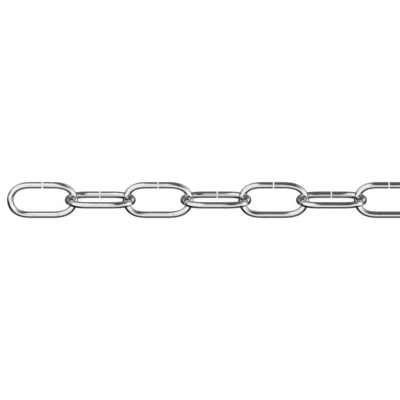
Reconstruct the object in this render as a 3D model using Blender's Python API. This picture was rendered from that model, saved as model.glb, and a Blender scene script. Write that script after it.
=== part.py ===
"""A one-metre length of long-link steel chain, pulled straight on a level floor.

Each link is one piece of round wire bent into an oval and left unwelded, with its two cut ends
almost meeting in the middle of one leg. Neighbouring links lie square to each other. Both lean at
45 degrees, so that every link stands on one leg and the whole chain rests along two lines.
+X runs along the chain, +Z is up, and the origin is under the middle of the chain on the floor.
"""

import math

import bpy

# Driving dimensions, in metres
WIRE_DIAMETER = 0.003
PITCH = 0.027
OUTER_WIDTH = 0.0177
CUT_GAP = 0.00045
SEAT_GAP = 0.00015
LINK_COUNT = 37
MIDDLE_NUMBER = (LINK_COUNT + 1) // 2

# Each link is a quarter turn from the next, and the leans share it evenly
QUARTER_TURN = math.radians(90)
LEAN = QUARTER_TURN / 2

# Facets of the wire
WIRE_SIDES = 8
BOW_STEPS = 7

# Bright nickel-plated steel
STEEL_COLOUR = (0.78, 0.78, 0.79, 1.0)
STEEL_ROUGHNESS = 0.12

# A polygon with the round wire's area keeps each link's weight
WIRE_RADIUS = WIRE_DIAMETER / 2
SIDE_ANGLE = 2 * math.pi / WIRE_SIDES
CORNER_RADIUS = WIRE_RADIUS * math.sqrt(SIDE_ANGLE / math.sin(SIDE_ANGLE))
FACET_RADIUS = CORNER_RADIUS * math.cos(SIDE_ANGLE / 2)

# The odd number of steps puts a flat facet on the crown, where the next link hangs
BOW_RADIUS = (OUTER_WIDTH - WIRE_DIAMETER) / 2
CROWN_RADIUS = BOW_RADIUS * math.cos(math.pi / BOW_STEPS / 2)

# A link's origin is the middle of the wire it hangs on, and so it lies on its swing axis
SEAT = WIRE_DIAMETER + SEAT_GAP
NEAR_BOW_X = CROWN_RADIUS - SEAT
FAR_BOW_X = PITCH - CROWN_RADIUS
MIDDLE_X = (PITCH - SEAT) / 2

AXIS_HEIGHT = BOW_RADIUS * math.sin(LEAN) + FACET_RADIUS


def clear_scene():
    """Removes every object that the startup file brought."""
    for obj in list(bpy.data.objects):
        bpy.data.objects.remove(obj)


def plated_steel():
    """The wire's bright plating."""
    material = bpy.data.materials.new("plated_steel")
    material.use_nodes = True
    shader = material.node_tree.nodes["Principled BSDF"]
    shader.inputs["Base Color"].default_value = STEEL_COLOUR
    shader.inputs["Metallic"].default_value = 1.0
    shader.inputs["Roughness"].default_value = STEEL_ROUGHNESS
    material.diffuse_color = STEEL_COLOUR
    return material


def bow_points(centre_x, start):
    """Half a turn of the wire's centreline, clockwise from the angle start."""
    turns = [start - math.pi * step / BOW_STEPS for step in range(BOW_STEPS + 1)]
    return [
        (centre_x + BOW_RADIUS * math.cos(a), BOW_RADIUS * math.sin(a)) for a in turns
    ]


def link_centreline():
    """The wire's centreline in the link's plane, from one cut end round to the other."""
    return [
        (MIDDLE_X + CUT_GAP / 2, BOW_RADIUS),
        *bow_points(FAR_BOW_X, math.pi / 2),
        *bow_points(NEAR_BOW_X, -math.pi / 2),
        (MIDDLE_X - CUT_GAP / 2, BOW_RADIUS),
    ]


def link_wire(material):
    """One open link as a bevelled wire, with a facet square to the floor when it leans."""
    wire = bpy.data.curves.new("link_wire", "CURVE")
    wire.dimensions = "3D"
    wire.bevel_depth = CORNER_RADIUS
    wire.bevel_resolution = (WIRE_SIDES - 4) // 2
    wire.use_fill_caps = True
    path = link_centreline()
    spline = wire.splines.new("POLY")
    spline.points.add(len(path) - 1)
    for point, (x, y) in zip(spline.points, path):
        point.co = (x, y, 0, 1)
        point.tilt = SIDE_ANGLE / 2
    wire.materials.append(material)
    return wire


def add_piece(name, data, carrier, collection):
    """A named object, or an empty where data is None, that moves with its carrier."""
    piece = bpy.data.objects.new(name, data)
    piece.parent = carrier
    collection.objects.link(piece)
    return piece


def hook_links(numbers, carrier, first_turn, wire, collection):
    """Hooks each link on the one before it, so that turning a link carries all beyond it."""
    turn = first_turn
    for number in numbers:
        link = add_piece(f"link_{number:02d}", wire, carrier, collection)
        link.location.x = PITCH
        link.rotation_euler.x = turn
        turn = -turn
        carrier = link


def build_chain():
    """Lays the middle link, then hooks both halves of the chain on it, from its bows outwards."""
    collection = bpy.data.collections.new("steel_chain")
    bpy.context.scene.collection.children.link(collection)
    wire = link_wire(plated_steel())

    chain = add_piece("chain", None, None, collection)
    chain.location.z = AXIS_HEIGHT
    chain.rotation_euler.x = LEAN
    middle = add_piece(f"link_{MIDDLE_NUMBER:02d}", wire, chain, collection)
    middle.location.x = -MIDDLE_X
    other_way = add_piece("other_way", None, middle, collection)
    other_way.location.x = 2 * MIDDLE_X
    other_way.rotation_euler.y = math.pi

    after = range(MIDDLE_NUMBER + 1, LINK_COUNT + 1)
    before = range(MIDDLE_NUMBER - 1, 0, -1)
    hook_links(after, middle, -QUARTER_TURN, wire, collection)
    hook_links(before, other_way, QUARTER_TURN, wire, collection)


clear_scene()
build_chain()
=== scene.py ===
"""Dresses a length of bright steel link chain and sets it in a plain white studio.

Every link is bent from a straight piece of round wire, as a chain machine does it: the wire is cut
off, wrapped into an oval through the link before it, and left with its two cut ends butted.
"""

import logging
import math
import random
from dataclasses import dataclass, field, replace
from enum import Enum
from typing import Any

import bpy
from mathutils import Matrix, Vector


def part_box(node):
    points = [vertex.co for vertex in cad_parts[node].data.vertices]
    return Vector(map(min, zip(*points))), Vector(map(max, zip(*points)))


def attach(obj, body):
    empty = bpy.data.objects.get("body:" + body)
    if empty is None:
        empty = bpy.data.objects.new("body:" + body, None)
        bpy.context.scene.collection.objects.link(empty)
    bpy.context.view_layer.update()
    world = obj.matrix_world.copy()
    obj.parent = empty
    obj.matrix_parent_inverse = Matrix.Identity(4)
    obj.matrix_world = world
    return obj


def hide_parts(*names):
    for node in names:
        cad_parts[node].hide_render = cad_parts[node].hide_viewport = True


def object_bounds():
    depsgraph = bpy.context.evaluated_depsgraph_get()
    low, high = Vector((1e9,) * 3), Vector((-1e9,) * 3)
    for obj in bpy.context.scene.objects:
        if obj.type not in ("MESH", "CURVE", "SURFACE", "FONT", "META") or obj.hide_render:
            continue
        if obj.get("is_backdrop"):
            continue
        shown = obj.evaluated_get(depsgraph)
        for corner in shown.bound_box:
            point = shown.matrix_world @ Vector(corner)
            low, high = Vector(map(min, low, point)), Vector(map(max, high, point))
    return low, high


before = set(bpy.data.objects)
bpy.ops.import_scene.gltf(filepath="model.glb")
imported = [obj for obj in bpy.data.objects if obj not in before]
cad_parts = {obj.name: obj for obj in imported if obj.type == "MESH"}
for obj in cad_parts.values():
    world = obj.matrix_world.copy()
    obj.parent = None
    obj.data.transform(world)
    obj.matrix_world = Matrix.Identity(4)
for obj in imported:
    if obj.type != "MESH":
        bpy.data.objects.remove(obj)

LOG = logging.getLogger("chain")
MM = 0.001
HALF_TURN = 180.0


def linear(hex_colour: str) -> tuple[float, float, float, float]:
    """Turns an sRGB hex colour into linear light.

    Args:
        hex_colour: Six hex digits after a hash sign.

    Returns:
        Red, green, blue and an alpha of 1.
    """
    channels = [int(hex_colour[i : i + 2], 16) / 255 for i in (1, 3, 5)]
    light = [c / 12.92 if c <= 0.04045 else ((c + 0.055) / 1.055) ** 2.4 for c in channels]
    return (*light, 1.0)


def add_node(
    tree: bpy.types.NodeTree,
    kind: str,
    inputs: dict[str | int, Any] | None = None,
    **settings: Any,
) -> bpy.types.Node:
    """Adds a node, sets it up and links it.

    Args:
        tree: The tree that the node goes in.
        kind: The node's type name.
        inputs: For each input, by name or place, a value or what feeds it.
        **settings: The node's own properties.

    Returns:
        The new node.
    """
    node = tree.nodes.new(kind)
    for name, value in settings.items():
        setattr(node, name, value)
    for key, value in (inputs or {}).items():
        source = value.socket if isinstance(value, Sum) else value
        if isinstance(source, bpy.types.NodeSocket):
            tree.links.new(source, node.inputs[key])
        else:
            node.inputs[key].default_value = source
    return node


def empty_material(name: str) -> tuple[bpy.types.Material, bpy.types.NodeTree]:
    """Adds a material with nothing in it.

    Args:
        name: The material's name.

    Returns:
        The material and its node tree.
    """
    material = bpy.data.materials.new(name)
    material.use_nodes = True
    material.node_tree.nodes.clear()
    return material, material.node_tree


class Sum:
    """A number that a node tree works out, for use in plain sums."""

    def __init__(self, socket: bpy.types.NodeSocket) -> None:
        """Keeps the output that holds the number."""
        self.socket = socket

    def step(self, operation: str, *others: "Sum | float") -> "Sum":
        """Adds one step of a sum to the tree.

        Args:
            operation: The step's name, such as ADD or SINE.
            *others: The step's other numbers.

        Returns:
            The answer.
        """
        inputs = dict(enumerate((self, *others)))
        tree = self.socket.id_data
        return Sum(add_node(tree, "ShaderNodeMath", inputs, operation=operation).outputs[0])

    def __add__(self, other: "Sum | float") -> "Sum":
        """This number and another."""
        return self.step("ADD", other)

    def __sub__(self, other: "Sum | float") -> "Sum":
        """This number less another."""
        return self.step("SUBTRACT", other)

    def __mul__(self, other: "Sum | float") -> "Sum":
        """This number times another."""
        return self.step("MULTIPLY", other)

    def __truediv__(self, other: "Sum | float") -> "Sum":
        """This number divided by another."""
        return self.step("DIVIDE", other)

    def clamp(self, low: "Sum | float", high: "Sum | float") -> "Sum":
        """This number, kept between two limits."""
        return self.step("MAXIMUM", low).step("MINIMUM", high)

    def smooth(self, start: float, end: float) -> "Sum":
        """Rises smoothly from 0 where this number is start to 1 where it is end."""
        inputs = {"Value": self, "From Min": start, "From Max": end}
        tree = self.socket.id_data
        node = add_node(tree, "ShaderNodeMapRange", inputs, interpolation_type="SMOOTHSTEP")
        return Sum(node.outputs["Result"])

    def between(self, low: "Sum | float", high: "Sum | float") -> "Sum":
        """Goes from low to high as this number goes from 0 to 1."""
        inputs = {"Value": self, "To Min": low, "To Max": high}
        return Sum(add_node(self.socket.id_data, "ShaderNodeMapRange", inputs).outputs["Result"])


@dataclass(frozen=True)
class NickelPlatedWire:
    """Bright nickel-plated steel wire: drawn, plated, then bent.

    The plating is a near mirror, so the eye sees the studio drawn out along the wire in bands. Fine
    lines from the drawing die run along it, the links' knocking about leaves faint scuffs, the bows
    are rubbed duller where they hang in each other, with painted shade laid darker on them there,
    and the two sheared faces are bare grey steel.
    """

    name: str = "nickel_plated_steel_wire"
    slot: str = "plated_steel"
    colour: str = "#C7C7C9"
    roughness: float = 0.04
    scuff_colour: str = "#B6B6B7"
    scuff_roughness: float = 0.12
    scuff_size: float = 1.4 * MM
    scuff_stretch: float = 2.0
    scuff_detail: float = 4.0
    scuff_start: float = 0.52
    scuff_full: float = 0.72
    # The rub is partly wear from the next link and partly painted shade, darker where the links meet
    rub_and_shade_colour: str = "#8F8F91"
    rub_and_shade_roughness: float = 0.24
    rub_and_shade_cover: float = 0.4
    cut_colour: str = "#8A8B8E"
    cut_roughness: float = 0.45
    # A die's real lines are too fine to show, so these are drawn coarser than they are
    draw_line: float = 0.16 * MM
    draw_line_length: float = 30 * MM
    draw_line_detail: float = 3.0
    bump_depth: float = 0.0016 * MM
    bump_strength: float = 0.5

    def material(self) -> bpy.types.Material:
        """Builds the plating.

        Returns:
            A material that reads three attributes of the mesh: wire is each point's place on the
            straight wire in metres, the middle one is how much the next link rubs there together
            with the painted shade laid where the links meet, and cut is 1 on the two sheared faces.
        """
        material, tree = empty_material(self.name)
        place = add_node(tree, "ShaderNodeAttribute", attribute_name="wire").outputs["Vector"]
        rub_and_shade = Sum(add_node(tree, "ShaderNodeAttribute", attribute_name="rub_and_shade").outputs["Fac"])
        cut = Sum(add_node(tree, "ShaderNodeAttribute", attribute_name="cut").outputs["Fac"])
        lines = self._noise(place, self.draw_line, self.draw_line_length, self.draw_line_detail)
        scuff_length = self.scuff_size * self.scuff_stretch
        scuffs = self._noise(place, self.scuff_size, scuff_length, self.scuff_detail)
        worn = scuffs.smooth(self.scuff_start, self.scuff_full)
        # Rubbed wear and painted shade on the insides of the crowns, where the links meet
        rubbed_and_shaded = rub_and_shade * (scuffs + self.rub_and_shade_cover).clamp(0.0, 1.0)
        colour: Any = linear(self.colour)
        roughness: Any = self.roughness
        for share, other_colour, other_roughness in (
            (worn, self.scuff_colour, self.scuff_roughness),
            (rubbed_and_shaded, self.rub_and_shade_colour, self.rub_and_shade_roughness),
            (cut, self.cut_colour, self.cut_roughness),
        ):
            # A mix node has its two colours at inputs 6 and 7, and the mixed one at output 2
            colours = {0: share, 6: colour, 7: linear(other_colour)}
            colour = add_node(tree, "ShaderNodeMix", colours, data_type="RGBA").outputs[2]
            roughness = share.between(roughness, other_roughness)
        relief = {"Height": lines, "Strength": self.bump_strength, "Distance": self.bump_depth}
        bump = add_node(tree, "ShaderNodeBump", relief)
        shader = add_node(
            tree,
            "ShaderNodeBsdfPrincipled",
            {
                "Base Color": colour,
                "Metallic": 1.0,
                "Roughness": roughness,
                "Normal": bump.outputs["Normal"],
            },
        )
        add_node(tree, "ShaderNodeOutputMaterial", {"Surface": shader.outputs["BSDF"]})
        return material

    def _noise(
        self, place: bpy.types.NodeSocket, across: float, along: float, detail: float
    ) -> Sum:
        """Noise whose grain is drawn out along the wire.

        Args:
            place: Each point's place on the straight wire.
            across: The grain's width, in metres.
            along: The grain's length, in metres.
            detail: How many finer layers the noise has.

        Returns:
            The noise, from 0 to 1.
        """
        tree = place.id_data
        scale = {0: place, 1: (1 / across, 1 / across, 1 / along)}
        scaled = add_node(tree, "ShaderNodeVectorMath", scale, operation="MULTIPLY").outputs[0]
        grain = {"Vector": scaled, "Scale": 1.0, "Detail": detail}
        return Sum(add_node(tree, "ShaderNodeTexNoise", grain).outputs["Fac"])


@dataclass(frozen=True)
class HalfOval:
    """The line that half a link's wire is bent along: half a leg, a round bow and half a leg back.

    Sprung wire eases from straight to bent, so each point is the mean of the sharp line over a short
    length around it. The bows' reflections then run on into the legs without a break.
    """

    half_leg: Sum
    bow_radius: Sum
    easing: Sum

    def sharp(self, travel: Sum) -> tuple[Sum, Sum, Sum]:
        """Follows the line as it is without the easing.

        Args:
            travel: How far along it, from the middle of the cut leg.

        Returns:
            The place as x and y, and the running total of x.
        """
        past_leg = travel - self.half_leg
        bend = (past_leg / self.bow_radius).clamp(0.0, math.pi)
        out = travel.step("MINIMUM", self.half_leg)
        back = (past_leg - self.bow_radius * math.pi).step("MAXIMUM", 0.0)
        x = out - back + self.bow_radius * bend.step("SINE")
        y = self.bow_radius * bend.step("COSINE")
        total = (out * out - back * back) * 0.5
        total += self.half_leg * past_leg.step("MAXIMUM", 0.0)
        total += self.bow_radius * (self.bow_radius - y)
        return x, y, total

    def eased(self, travel: Sum) -> tuple[Sum, Sum, Sum, Sum]:
        """Follows the line with the easing.

        Args:
            travel: How far along it, from the middle of the cut leg.

        Returns:
            The place as x and y, and the way on as x and y, of length 1.
        """
        x_ahead, y_ahead, total_ahead = self.sharp(travel + self.easing)
        x_behind, y_behind, total_behind = self.sharp(travel - self.easing)
        run = x_ahead - x_behind
        rise = y_ahead - y_behind
        length = (run * run + rise * rise).step("SQRT")
        window = self.easing * 2.0
        x = (total_ahead - total_behind) / window
        return x, self.bow_radius * run / window, run / length, rise / length


class Lean(Enum):
    """How far a link is turned about the chain, in degrees, as it stands on one leg."""

    BACK_LEG_UP = 45.0
    BACK_LEG_DOWN = -45.0


@dataclass(frozen=True)
class WireLink:
    """One open link's sizes."""

    wire_diameter: float = 3.06 * MM
    inside_length: float = 27.02 * MM
    outside_width: float = 17.7 * MM
    first_easing: float = 4.8 * MM
    second_easing: float = 3.8 * MM
    cut_gap: float = 0.42 * MM
    cut_offset: float = 0.0
    cut_rounding: float = 0.12 * MM
    # How far from each crown the rub and its painted shade reach
    rub_and_shade_reach: float = 2.6 * MM
    sides: int = 32
    rings: int = 150
    end_crowding: float = 0.8

    def inputs(self) -> dict[str, float | int]:
        """The bending tree's named inputs and their values."""
        return {
            "Wire Diameter": self.wire_diameter,
            "Inside Length": self.inside_length,
            "Outside Width": self.outside_width,
            "First Easing": self.first_easing,
            "Second Easing": self.second_easing,
            "Cut Gap": self.cut_gap,
            "Cut Offset": self.cut_offset,
            "Cut Rounding": self.cut_rounding,
            "Rub And Shade Reach": self.rub_and_shade_reach,
            "Sides": self.sides,
            "Rings": self.rings,
            "End Crowding": self.end_crowding,
        }


class BendingTree:
    """The geometry node tree that bends a straight wire into a link.

    The link lies in the XY plane, round the origin, with its cut on the leg at +Y.
    """

    # How many rings of faces each cut face has
    CUT_FACE_RINGS = 3
    # Where the rub and its painted shade are full, in wire radii outwards from the wire's middle,
    # so this is on the inside
    FULL_RUB_AND_SHADE = -0.9

    def __init__(self, link: WireLink, plating: bpy.types.Material) -> None:
        """Builds the tree.

        Args:
            link: A link, whose sizes name the tree's inputs.
            plating: The wire's finish.
        """
        self.tree = bpy.data.node_groups.new("bend_wire_into_link", "GeometryNodeTree")
        self.identifiers: dict[str, str] = {}
        for name, value in link.inputs().items():
            kind = "NodeSocketInt" if isinstance(value, int) else "NodeSocketFloat"
            socket = self.tree.interface.new_socket(name, in_out="INPUT", socket_type=kind)
            self.identifiers[name] = socket.identifier
        self.tree.interface.new_socket(
            "Geometry", in_out="OUTPUT", socket_type="NodeSocketGeometry"
        )
        outputs = add_node(self.tree, "NodeGroupInput").outputs
        self.given = {name: Sum(outputs[name]) for name in link.inputs()}
        self.wire_radius = self.given["Wire Diameter"] / 2.0
        self.bow_radius = (self.given["Outside Width"] - self.given["Wire Diameter"]) / 2.0
        self.first_leg = self._half_leg(self.given["First Easing"])
        self.second_leg = self._half_leg(self.given["Second Easing"])
        self.first_half = self.first_leg * 2.0 + self.bow_radius * math.pi
        self.second_half = self.second_leg * 2.0 + self.bow_radius * math.pi
        self.round_trip = self.first_half + self.second_half
        self.wire_length = self.round_trip - self.given["Cut Gap"]
        self._bend(plating)

    def make(self, link: WireLink, name: str, place: Matrix) -> bpy.types.Object:
        """Makes one link as a plain mesh, in its place.

        Args:
            link: The link's sizes.
            name: The link's name.
            place: Where the link stands, from its own plane to the row frame.

        Returns:
            An object at the origin whose mesh is the link.
        """
        seed = bpy.data.objects.new(name, bpy.data.meshes.new(name))
        bpy.context.scene.collection.objects.link(seed)
        modifier = seed.modifiers.new("bend", "NODES")
        modifier.node_group = self.tree
        for label, value in link.inputs().items():
            modifier[self.identifiers[label]] = value
        evaluated = seed.evaluated_get(bpy.context.evaluated_depsgraph_get())
        mesh = bpy.data.meshes.new_from_object(evaluated)
        seed.modifiers.remove(modifier)
        mesh.transform(place)
        seed.data = mesh
        return seed

    def _half_leg(self, easing: Sum) -> Sum:
        """Works out half a leg, so that the easing leaves the link's inside length as it is.

        Args:
            easing: How far the wire takes to ease into the leg's bow.

        Returns:
            The half leg's length in the sharp oval.
        """
        bow_reach = self.bow_radius * self.bow_radius / easing
        bow_reach *= (easing / self.bow_radius).step("SINE")
        return self.given["Inside Length"] / 2.0 + self.wire_radius - bow_reach

    def _centreline(self, travel: Sum) -> tuple[Sum, Sum, Sum, Sum]:
        """Follows the link's centreline, whose second half mirrors the first with its own easing.

        Args:
            travel: How far along it, from the middle of the cut leg.

        Returns:
            The place as x and y, and the way on as x and y, of length 1.
        """
        second = travel.step("GREATER_THAN", self.first_half)
        half = HalfOval(
            second.between(self.first_leg, self.second_leg),
            self.bow_radius,
            second.between(self.given["First Easing"], self.given["Second Easing"]),
        )
        side = second.between(1.0, -1.0)
        x, y, way_x, way_y = half.eased(second.between(travel, self.round_trip - travel))
        return x * side, y, way_x, way_y * side

    def _bend(self, plating: bpy.types.Material) -> None:
        """Takes a straight wire, rounds its ends, bends it and dresses it.

        Args:
            plating: The wire's finish.
        """
        rod = add_node(
            self.tree,
            "GeometryNodeMeshCylinder",
            {
                "Vertices": self.given["Sides"],
                "Side Segments": self.given["Rings"],
                "Fill Segments": self.CUT_FACE_RINGS,
                "Radius": self.wire_radius,
                "Depth": self.wire_length,
            },
            fill_type="TRIANGLE_FAN",
        )
        position = add_node(self.tree, "GeometryNodeInputPosition").outputs[0]
        split = add_node(self.tree, "ShaderNodeSeparateXYZ", {0: position}).outputs
        along = self._along(Sum(split["Z"]))
        slimness = self._slimness(along)
        outward = Sum(split["X"]) * slimness
        upward = Sum(split["Y"]) * slimness
        travel = along + self.given["Cut Gap"] / 2.0 + self.given["Cut Offset"]
        x, y, way_x, way_y = self._centreline(travel)
        bent = {"X": x - outward * way_y, "Y": y + outward * way_x, "Z": upward}
        bent_place = add_node(self.tree, "ShaderNodeCombineXYZ", bent).outputs[0]
        straight = {"X": outward, "Y": upward, "Z": along}
        straight_place = add_node(self.tree, "ShaderNodeCombineXYZ", straight).outputs[0]
        ends = {0: rod.outputs["Top"], 1: rod.outputs["Bottom"]}
        cut = add_node(self.tree, "FunctionNodeBooleanMath", ends, operation="OR").outputs[0]

        wire = self._mark(rod.outputs["Mesh"], "wire", straight_place, "FLOAT_VECTOR", "POINT")
        # The crowns' insides are marked with rubbed wear and painted shade where the links meet
        wire = self._mark(wire, "rub_and_shade", self._rub_and_shade(travel, outward), "FLOAT", "POINT")
        wire = self._mark(wire, "cut", cut, "FLOAT", "FACE")
        for kind, inputs in (
            ("GeometryNodeSetPosition", {"Position": bent_place}),
            ("GeometryNodeSetShadeSmooth", {"Shade Smooth": True}),
            ("GeometryNodeRealizeInstances", {}),
            ("GeometryNodeSetMaterial", {"Material": plating}),
        ):
            wire = add_node(self.tree, kind, {"Geometry": wire, **inputs}).outputs[0]
        add_node(self.tree, "NodeGroupOutput", {"Geometry": wire})

    def _along(self, height: Sum) -> Sum:
        """How far along the wire a point is, with its rings crowded towards the cut ends.

        Args:
            height: The point's height on the cylinder, which stands round the origin.

        Returns:
            The distance from the wire's first end.
        """
        share = height / self.wire_length + 0.5
        wave = (share * (2 * math.pi)).step("SINE")
        crowded = share - wave * self.given["End Crowding"] / (2 * math.pi)
        return crowded * self.wire_length

    def _slimness(self, along: Sum) -> Sum:
        """How slim the wire is, which is 1 all along it but less on its rounded cut edges.

        Args:
            along: The distance from the wire's first end.

        Returns:
            The share of the wire's radius.
        """
        rounding = self.given["Cut Rounding"]
        to_cut = along.step("MINIMUM", self.wire_length - along)
        short_of = (to_cut / rounding).clamp(0.0, 1.0) * -1.0 + 1.0
        arc = (short_of * short_of * -1.0 + 1.0).step("SQRT")
        drop = (arc * -1.0 + 1.0) * rounding
        return drop / self.wire_radius * -1.0 + 1.0

    def _rub_and_shade(self, travel: Sum, outward: Sum) -> Sum:
        """How much the next link's bow rubs a point, and how much painted shade is laid there
        where the links meet.

        Args:
            travel: How far the point is along the oval.
            outward: How far it is from the wire's middle, away from the link's.

        Returns:
            The share, which is 1 on the inside of both crowns.
        """
        from_first = (travel - self.first_half * 0.5).step("ABSOLUTE")
        from_second = (travel - self.round_trip + self.second_half * 0.5).step("ABSOLUTE")
        from_crown = from_first.step("MINIMUM", from_second)
        near = (from_crown / self.given["Rub And Shade Reach"]).smooth(1.0, 0.0)
        return near * (outward / self.wire_radius).smooth(0.0, self.FULL_RUB_AND_SHADE)

    def _mark(
        self, wire: bpy.types.NodeSocket, name: str, value: Any, kind: str, domain: str
    ) -> bpy.types.NodeSocket:
        """Stores an attribute that the wire's finish reads.

        Args:
            wire: The geometry.
            name: The attribute's name.
            value: Its value at each place.
            kind: Its data type.
            domain: What each value belongs to, POINT or FACE.

        Returns:
            The geometry with the attribute.
        """
        inputs = {"Geometry": wire, "Name": name, "Value": value}
        settings = {"data_type": kind, "domain": domain}
        node = add_node(self.tree, "GeometryNodeStoreNamedAttribute", inputs, **settings)
        return node.outputs[0]


@dataclass
class Chain:
    """The whole length of chain: one link for each of the frame's bodies.

    No two links are cut quite alike. The fourth link's cut is well off the middle of its leg, the
    second's is a little off it the other way, and the first's gap is wider.
    """

    link: WireLink = field(default_factory=WireLink)
    finish: NickelPlatedWire = field(default_factory=NickelPlatedWire)
    seed: int = 4
    gap_play: float = 0.05 * MM
    offset_play: float = 0.12 * MM
    own_offsets: dict[int, float] = field(default_factory=lambda: {2: -0.2 * MM, 4: 0.6 * MM})
    own_gaps: dict[int, float] = field(default_factory=lambda: {1: 0.58 * MM})

    def build(self) -> None:
        """Bends, dresses and hangs every link on its own body."""
        tree = BendingTree(self.link, self.finish.material())
        chance = random.Random(self.seed)
        for number, node in enumerate(sorted(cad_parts), start=1):
            gap = self.link.cut_gap + chance.uniform(-self.gap_play, self.gap_play)
            offset = chance.uniform(-self.offset_play, self.offset_play)
            link = replace(
                self.link,
                cut_gap=self.own_gaps.get(number, gap),
                cut_offset=self.own_offsets.get(number, offset),
            )
            lean = Lean.BACK_LEG_UP if number % 2 else Lean.BACK_LEG_DOWN
            piece = tree.make(link, f"wire_{node}", self.place(node, lean))
            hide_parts(node)
            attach(piece, node)
            LOG.info("%s: %d faces, leaning %s", piece.name, len(piece.data.polygons), lean.name)

    def place(self, node: str, lean: Lean) -> Matrix:
        """Where a link stands.

        Args:
            node: The link's node in the frame.
            lean: Which way it leans.

        Returns:
            The turn about the chain and the move to the middle of the node's box.
        """
        low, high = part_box(node)
        turn = Matrix.Rotation(math.radians(lean.value), 4, "X")
        return Matrix.Translation((low + high) / 2) @ turn


@dataclass(frozen=True)
class Card:
    """A soft-edged patch of light or shade round the chain, which only its polished wire mirrors.

    Its place is in degrees. Its turn is about the chain, from the front horizon over the top, and
    its aside is from square to the chain towards the last link. The default aside_reach takes in
    every aside.
    """

    name: str
    light: float
    turn: float
    turn_reach: float
    aside: float = 0.0
    aside_reach: float = 110.0
    edge: float = 10.0

    def over(self, behind: Sum | float, turn: Sum, aside: Sum) -> Sum:
        """Lays the card over what is behind it.

        Args:
            behind: The light of what is behind the card.
            turn: The looked-at place's angle about the chain.
            aside: Its angle towards the last link.

        Returns:
            The light with the card in front.
        """
        off_turn = (turn - self.turn).step("WRAP", HALF_TURN, -HALF_TURN).step("ABSOLUTE")
        off_aside = (aside - self.aside).step("ABSOLUTE")
        share = off_turn.smooth(self.turn_reach + self.edge, self.turn_reach - self.edge)
        share *= off_aside.smooth(self.aside_reach + self.edge, self.aside_reach - self.edge)
        return share.between(behind, self.light)


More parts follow.
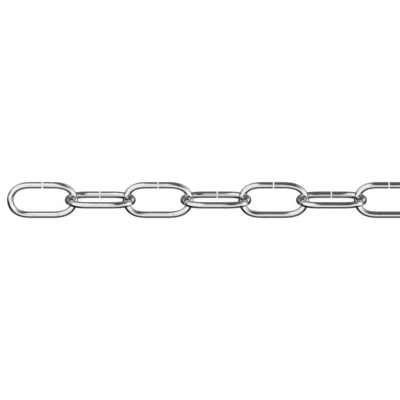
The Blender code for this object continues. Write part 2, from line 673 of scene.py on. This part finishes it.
@dataclass(frozen=True)
class Softbox:
    """A flat softbox above the first links, whose light fades towards its right and long edges."""

    middle: tuple[float, float, float] = (-0.99, 0.05, 0.53)
    length: float = 1.25
    depth: float = 1.4
    turn: float = 9.0
    light: float = 1.6
    right_fade: float = 0.105
    long_fade: float = 0.56

    def build(self) -> None:
        """Hangs the softbox, seen only in the polished wire."""
        bpy.ops.mesh.primitive_plane_add(size=1.0, location=self.middle)
        box = bpy.context.object
        box.name = "softbox"
        box.scale = (self.length, self.depth, 1.0)
        box.rotation_euler.z = math.radians(self.turn)
        box.visible_camera = False
        box.visible_diffuse = False
        box.visible_shadow = False
        material, tree = empty_material("softbox_cloth")
        place = add_node(tree, "ShaderNodeTexCoord").outputs["Object"]
        split = add_node(tree, "ShaderNodeSeparateXYZ", {0: place}).outputs
        # The unscaled plane is 1 wide, so its edges are half of that from its middle
        edge = 0.5
        glow = Sum(split["X"]).smooth(edge, edge - self.right_fade / self.length)
        glow *= Sum(split["Y"]).step("ABSOLUTE").smooth(edge, edge - self.long_fade / self.depth)
        clear = add_node(tree, "ShaderNodeBsdfTransparent").outputs[0]
        lit = add_node(tree, "ShaderNodeEmission", {"Strength": self.light}).outputs[0]
        shader = add_node(tree, "ShaderNodeMixShader", {0: glow, 1: clear, 2: lit})
        add_node(tree, "ShaderNodeOutputMaterial", {"Surface": shader.outputs[0]})
        box.data.materials.append(material)
        box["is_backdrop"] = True


@dataclass(frozen=True)
class Studio:
    """A white floor, a softbox above one end, and cards of light and shade that the wire mirrors.

    The dome is the even light that falls on the floor, and the darkness is what the wire mirrors
    between the cards.
    """

    floor_size: float = 6.0
    floor_drop: float = 0.05 * MM
    floor_colour: str = "#F2F2F2"
    floor_glow: float = 0.8
    dome: float = 0.26
    darkness: float = 0.007
    softbox: Softbox = Softbox()
    # The three numbers after each name are its light, its turn and its turn_reach
    cards: tuple[Card, ...] = (
        Card("ceiling", 0.14, 110.0, 50.0, edge=20.0),
        Card("ceiling_right", 1.2, 72.0, 24.0, aside=42.0, aside_reach=14.0, edge=14.0),
        Card("table_in_front", 0.14, -24.0, 36.0, aside=8.0, aside_reach=24.0, edge=12.0),
        Card("front_strip", 1.68, 36.0, 19.0, edge=9.0),
        Card("camera_gap", 1.4, 33.0, 21.0, aside=0.0, aside_reach=12.0, edge=12.0),
        Card("right_wall", 1.68, 50.0, 120.0, aside=95.0, aside_reach=43.0, edge=12.0),
        Card("back_wall", 0.23, -176.0, 36.0, edge=16.0),
        Card("back_table", 1.26, -166.0, 11.0, aside=45.0, aside_reach=32.0, edge=10.0),
        Card("back_window", 1.33, 142.0, 12.0, aside=50.0, aside_reach=20.0, edge=10.0),
        Card("back_wall_left", 0.77, 160.0, 34.0, aside=-70.0, aside_reach=52.0, edge=14.0),
    )

    def build(self) -> None:
        """Builds the floor, the softbox and the world."""
        self.floor()
        self.softbox.build()
        self.world()

    def floor(self) -> None:
        """Lays a white floor just under the chain, lit so that it is as white as paper."""
        bpy.ops.mesh.primitive_plane_add(size=self.floor_size, location=(0, 0, -self.floor_drop))
        floor = bpy.context.object
        floor.name = "studio_floor"
        floor.visible_glossy = False
        material, tree = empty_material("white_floor")
        cloth = add_node(tree, "ShaderNodeBsdfDiffuse", {"Color": linear(self.floor_colour)})
        glow = add_node(tree, "ShaderNodeEmission", {"Strength": self.floor_glow})
        both = add_node(tree, "ShaderNodeAddShader", {0: cloth.outputs[0], 1: glow.outputs[0]})
        add_node(tree, "ShaderNodeOutputMaterial", {"Surface": both.outputs[0]})
        floor.data.materials.append(material)
        floor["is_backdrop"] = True

    def world(self) -> None:
        """Lights the floor evenly and gives the wire dark surroundings with bright cards."""
        world = bpy.data.worlds.new("studio")
        bpy.context.scene.world = world
        world.cycles.sampling_method = "NONE"
        world.use_nodes = True
        tree = world.node_tree
        tree.nodes.clear()
        towards = add_node(tree, "ShaderNodeTexCoord").outputs["Generated"]
        x, y, z = map(Sum, add_node(tree, "ShaderNodeSeparateXYZ", {0: towards}).outputs)
        turn = z.step("ARCTAN2", y * -1.0).step("DEGREES")
        aside = x.step("ARCSINE").step("DEGREES")
        mirrored: Sum | float = self.darkness
        for card in self.cards:
            mirrored = card.over(mirrored, turn, aside)
            LOG.info("card %s: light %.2f", card.name, card.light)
        rays = add_node(tree, "ShaderNodeLightPath").outputs
        unmirrored = Sum(rays["Is Diffuse Ray"]).between(1.0, self.dome)
        strength = Sum(rays["Is Glossy Ray"]).between(unmirrored, mirrored)
        light = {"Color": (1.0, 1.0, 1.0, 1.0), "Strength": strength}
        background = add_node(tree, "ShaderNodeBackground", light)
        add_node(tree, "ShaderNodeOutputWorld", {"Surface": background.outputs[0]})


@dataclass(frozen=True)
class CatalogueCamera:
    """A camera with no perspective that looks steeply down on the chain's first links."""

    pitch: float = 27.0 * MM
    pitch_in_pixels: float = 57.8
    picture_side: int = 400
    left_margin: float = 7.0
    elevation: float = 64.9
    distance: float = 1.2

    @property
    def pixel(self) -> float:
        """The real width that one pixel covers, in metres."""
        return self.pitch / self.pitch_in_pixels

    def build(self) -> None:
        """Sets the camera up and makes it the scene's own."""
        low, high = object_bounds()
        axis_height = (low.z + high.z) / 2
        aim_x = low.x + (self.picture_side / 2 - self.left_margin) * self.pixel
        data = bpy.data.cameras.new("catalogue_camera")
        data.type = "ORTHO"
        data.ortho_scale = self.picture_side * self.pixel
        camera = bpy.data.objects.new("catalogue_camera", data)
        bpy.context.scene.collection.objects.link(camera)
        tilt = math.radians(self.elevation)
        back = Vector((0.0, -math.cos(tilt), math.sin(tilt)))
        camera.location = Vector((aim_x, 0.0, axis_height)) + back * self.distance
        camera.rotation_euler = (math.pi / 2 - tilt, 0.0, 0.0)
        bpy.context.scene.camera = camera


def show_true_white() -> None:
    """Shows light as it is, so that the floor is as white as paper."""
    bpy.context.scene.view_settings.view_transform = "Standard"


def main() -> None:
    """Builds the chain, the studio and the camera."""
    logging.basicConfig(level=logging.INFO, format="%(name)s: %(message)s")
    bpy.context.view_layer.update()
    Chain().build()
    Studio().build()
    CatalogueCamera().build()
    show_true_white()


if __name__ == "__main__":
    main()
